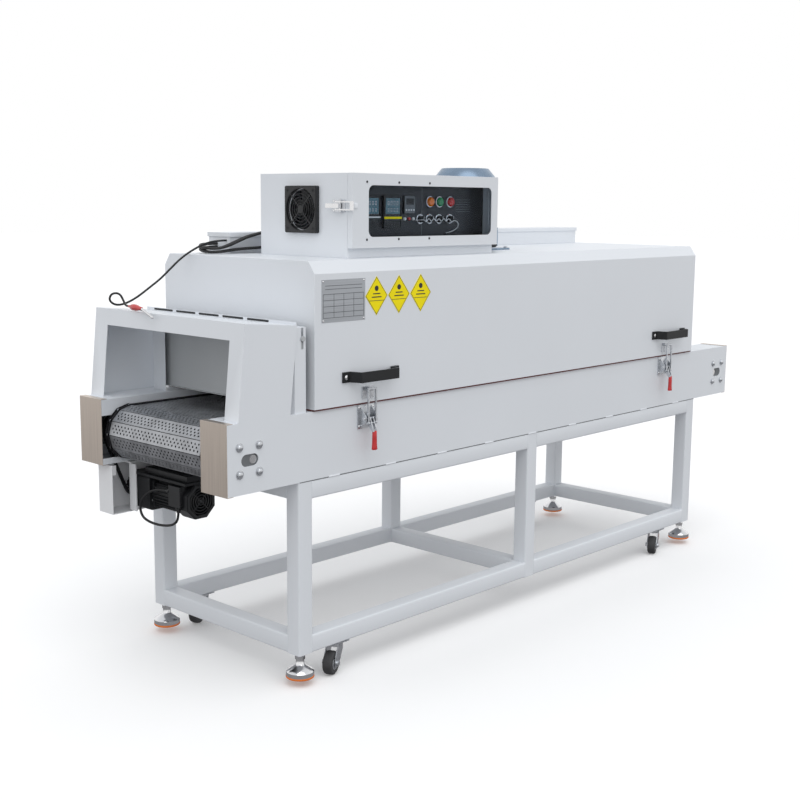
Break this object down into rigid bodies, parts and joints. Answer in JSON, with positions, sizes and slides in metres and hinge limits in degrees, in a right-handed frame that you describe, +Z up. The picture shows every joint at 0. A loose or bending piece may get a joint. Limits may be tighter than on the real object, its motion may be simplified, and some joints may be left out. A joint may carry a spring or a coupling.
{
  "type": "conveyor tunnel oven",
  "caption": "Hooded conveyor oven on a white tube stand with casters and feet: steel slat belt, gated entry portal, clamped lift-up hood, control cabinet and roof fan.",
  "frame": {"origin": "centre of the object's box, on the floor under the casters", "axes": "+X along the belt from the entry portal to the exit, -Y towards the operator's side with the handles and the cabinet's door, +Z up"},
  "size_m": [2.5, 0.714, 1.404],
  "materials": {
    "powder_white": "smooth powder coat",
    "gate_grey": "satin",
    "end_stainless": "brushed",
    "belt_steel": "brushed",
    "zinc": "zinc plated",
    "bright_steel": "polished",
    "chain_steel": "oiled",
    "black_paint": "satin",
    "black_plastic": "matt",
    "liner_steel": "mill finish",
    "insulation_wool": "fibrous",
    "gasket_red": "matt",
    "quartz": "satin",
    "tinted_window": "clear",
    "label_yellow": "satin",
    "label_silver": "satin",
    "motor_blue_grey": "satin",
    "panel_white": "satin",
    "cable_black": "matt",
    "tyre_grey": "matt",
    "red_grip": "soft gloss",
    "orange_pad": "matt",
    "display_blue": "gloss",
    "lamp_orange": "gloss",
    "lamp_green": "gloss",
    "lamp_red": "gloss",
    "white_plastic": "satin"
  },
  "bodies": {
    "base": {"stand_frame": "powder_white", "stand_fittings": "zinc", "side_channels": "powder_white", "end_caps": "end_stainless", "conveyor_belt": "belt_steel", "chamber_tray": "liner_steel", "shaft_bearings": "zinc", "entry_hood": "powder_white", "tunnel_collar": "powder_white", "hood_gasket": "gasket_red", "drive_guard": "panel_white", "gearmotor": "black_paint", "drive_chain": "chain_steel", "gearmotor_lead": "cable_black"},
    "hood": {"hood_shell": "powder_white", "hood_liner": "liner_steel", "hood_insulation": "insulation_wool", "heater_tubes": "quartz", "air_plate": "liner_steel", "hood_handles": "black_paint", "hood_fittings": "zinc", "front_plates": "label_yellow", "cable_trunk": "powder_white", "fan_motor": "motor_blue_grey", "control_cabinet": "powder_white", "instrument_panel": "panel_white", "cabinet_fan_guard": "black_plastic", "hood_wiring": "cable_black", "sensor_lead": "cable_black", "sensor_probe": "red_grip"},
    "entry_gate": {"entry_gate": "gate_grey"},
    "clamp_lever_near": {"clamp_lever_near": "zinc"},
    "clamp_hook_near": {"clamp_hook_near": "zinc"},
    "clamp_lever_far": {"clamp_lever_far": "zinc"},
    "clamp_hook_far": {"clamp_hook_far": "zinc"},
    "cabinet_door": {"cabinet_door": "powder_white", "door_window": "tinted_window"},
    "door_latch_lever": {"door_latch_lever": "bright_steel"},
    "door_latch_strap": {"door_latch_strap": "bright_steel"},
    "selector_knob_1": {"selector_knob_1": "bright_steel"},
    "selector_knob_2": {"selector_knob_2": "bright_steel"},
    "selector_knob_3": {"selector_knob_3": "bright_steel"},
    "selector_knob_4": {"selector_knob_4": "bright_steel"},
    "drive_shaft": {"drive_shaft": "chain_steel"},
    "tail_shaft": {"tail_shaft": "chain_steel"},
    "drive_pinion": {"drive_pinion": "chain_steel"},
    "fan_wheel": {"fan_wheel": "liner_steel"},
    "cabinet_fan_wheel": {"cabinet_fan_wheel": "black_plastic"},
    "caster_fork_1": {"caster_fork_1": "zinc"},
    "caster_wheel_1": {"caster_wheel_1": "tyre_grey"},
    "caster_fork_2": {"caster_fork_2": "zinc"},
    "caster_wheel_2": {"caster_wheel_2": "tyre_grey"},
    "caster_fork_3": {"caster_fork_3": "zinc"},
    "caster_wheel_3": {"caster_wheel_3": "tyre_grey"},
    "caster_fork_4": {"caster_fork_4": "zinc"},
    "caster_wheel_4": {"caster_wheel_4": "tyre_grey"},
    "levelling_foot_1": {"levelling_foot_1": "bright_steel"},
    "levelling_foot_2": {"levelling_foot_2": "bright_steel"},
    "levelling_foot_3": {"levelling_foot_3": "bright_steel"},
    "levelling_foot_4": {"levelling_foot_4": "bright_steel"}
  },
  "joints": [
    {"name": "hood_lift", "type": "hinge", "parent": "base", "child": "hood", "pos_m": [0, 0.347, 0.756], "axis": [-1, 0, 0], "range_deg": [0, 50]},
    {"name": "gate_height", "type": "slide", "parent": "base", "child": "entry_gate", "axis": [0, 0, 1], "range_m": [-0.01, 0.018]},
    {"name": "clamp_lever_near_swing", "type": "hinge", "parent": "base", "child": "clamp_lever_near", "pos_m": [-0.766, -0.328, 0.71], "axis": [-1, 0, 0], "range_deg": [0, 110]},
    {"name": "clamp_hook_near_swing", "type": "hinge", "parent": "clamp_lever_near", "child": "clamp_hook_near", "pos_m": [-0.766, -0.335, 0.698], "axis": [-1, 0, 0], "range_deg": [-110, 0]},
    {"name": "clamp_lever_far_swing", "type": "hinge", "parent": "base", "child": "clamp_lever_far", "pos_m": [0.772, -0.328, 0.71], "axis": [-1, 0, 0], "range_deg": [0, 110]},
    {"name": "clamp_hook_far_swing", "type": "hinge", "parent": "clamp_lever_far", "child": "clamp_hook_far", "pos_m": [0.772, -0.335, 0.698], "axis": [-1, 0, 0], "range_deg": [-110, 0]},
    {"name": "door_swing", "type": "hinge", "parent": "hood", "child": "cabinet_door", "pos_m": [-0.147, -0.25, 1.27], "axis": [0, 0, 1], "range_deg": [0, 110]},
    {"name": "latch_lever_swing", "type": "hinge", "parent": "hood", "child": "door_latch_lever", "pos_m": [-0.781, -0.224, 1.282], "axis": [0, 0, 1], "range_deg": [0, 80]},
    {"name": "latch_strap_swing", "type": "hinge", "parent": "door_latch_lever", "child": "door_latch_strap", "pos_m": [-0.787, -0.2136, 1.282], "axis": [0, 0, 1], "range_deg": [-80, 0]},
    {"name": "selector_1_turn", "type": "hinge", "parent": "hood", "child": "selector_knob_1", "pos_m": [-0.453, -0.216, 1.245], "axis": [0, -1, 0], "range_deg": [-45, 45]},
    {"name": "selector_2_turn", "type": "hinge", "parent": "hood", "child": "selector_knob_2", "pos_m": [-0.412, -0.216, 1.245], "axis": [0, -1, 0], "range_deg": [-45, 45]},
    {"name": "selector_3_turn", "type": "hinge", "parent": "hood", "child": "selector_knob_3", "pos_m": [-0.37, -0.216, 1.245], "axis": [0, -1, 0], "range_deg": [-45, 45]},
    {"name": "selector_4_turn", "type": "hinge", "parent": "hood", "child": "selector_knob_4", "pos_m": [-0.322, -0.216, 1.245], "axis": [0, -1, 0], "range_deg": [-45, 45]},
    {"name": "drive_shaft_turn", "type": "hinge", "parent": "base", "child": "drive_shaft", "pos_m": [-1.16205, 0.016, 0.651], "axis": [0, 1, 0], "continuous": true},
    {"name": "tail_shaft_turn", "type": "hinge", "parent": "base", "child": "tail_shaft", "pos_m": [1.16205, 0.016, 0.651], "axis": [0, 1, 0], "continuous": true},
    {"name": "pinion_turn", "type": "hinge", "parent": "base", "child": "drive_pinion", "pos_m": [-1.116, 0.016, 0.485], "axis": [0, 1, 0], "continuous": true},
    {"name": "circulation_fan_spin", "type": "hinge", "parent": "hood", "child": "fan_wheel", "pos_m": [0.01, 0.003, 1.068], "axis": [0, 0, 1], "continuous": true},
    {"name": "cabinet_fan_spin", "type": "hinge", "parent": "hood", "child": "cabinet_fan_wheel", "pos_m": [-0.767, -0.071, 1.271], "axis": [1, 0, 0], "continuous": true},
    {"name": "caster_1_swivel", "type": "hinge", "parent": "base", "child": "caster_fork_1", "pos_m": [-0.858, -0.284, 0.08], "axis": [0, 0, 1], "continuous": true},
    {"name": "caster_1_roll", "type": "hinge", "parent": "caster_fork_1", "child": "caster_wheel_1", "pos_m": [-0.882, -0.294, 0.033], "axis": [0.3846, -0.9231, 0], "continuous": true},
    {"name": "caster_2_swivel", "type": "hinge", "parent": "base", "child": "caster_fork_2", "pos_m": [-0.858, 0.316, 0.08], "axis": [0, 0, 1], "continuous": true},
    {"name": "caster_2_roll", "type": "hinge", "parent": "caster_fork_2", "child": "caster_wheel_2", "pos_m": [-0.882, 0.306, 0.033], "axis": [0.3846, -0.9231, 0], "continuous": true},
    {"name": "caster_3_swivel", "type": "hinge", "parent": "base", "child": "caster_fork_3", "pos_m": [0.805, -0.284, 0.08], "axis": [0, 0, 1], "continuous": true},
    {"name": "caster_3_roll", "type": "hinge", "parent": "caster_fork_3", "child": "caster_wheel_3", "pos_m": [0.781, -0.294, 0.033], "axis": [0.3846, -0.9231, 0], "continuous": true},
    {"name": "caster_4_swivel", "type": "hinge", "parent": "base", "child": "caster_fork_4", "pos_m": [0.805, 0.316, 0.08], "axis": [0, 0, 1], "continuous": true},
    {"name": "caster_4_roll", "type": "hinge", "parent": "caster_fork_4", "child": "caster_wheel_4", "pos_m": [0.781, 0.306, 0.033], "axis": [0.3846, -0.9231, 0], "continuous": true},
    {"name": "foot_1_level", "type": "slide", "parent": "base", "child": "levelling_foot_1", "axis": [0, 0, -1], "range_m": [0, 0.019]},
    {"name": "foot_2_level", "type": "slide", "parent": "base", "child": "levelling_foot_2", "axis": [0, 0, -1], "range_m": [0, 0.019]},
    {"name": "foot_3_level", "type": "slide", "parent": "base", "child": "levelling_foot_3", "axis": [0, 0, -1], "range_m": [0, 0.019]},
    {"name": "foot_4_level", "type": "slide", "parent": "base", "child": "levelling_foot_4", "axis": [0, 0, -1], "range_m": [0, 0.019]}
  ],
  "couplings": [
    {"joint": "clamp_hook_near_swing", "follows": "clamp_lever_near_swing", "ratio": -1},
    {"joint": "clamp_hook_far_swing", "follows": "clamp_lever_far_swing", "ratio": -1},
    {"joint": "latch_strap_swing", "follows": "latch_lever_swing", "ratio": -1},
    {"joint": "tail_shaft_turn", "follows": "drive_shaft_turn", "ratio": 1},
    {"joint": "pinion_turn", "follows": "drive_shaft_turn", "ratio": 1.8148}
  ]
}
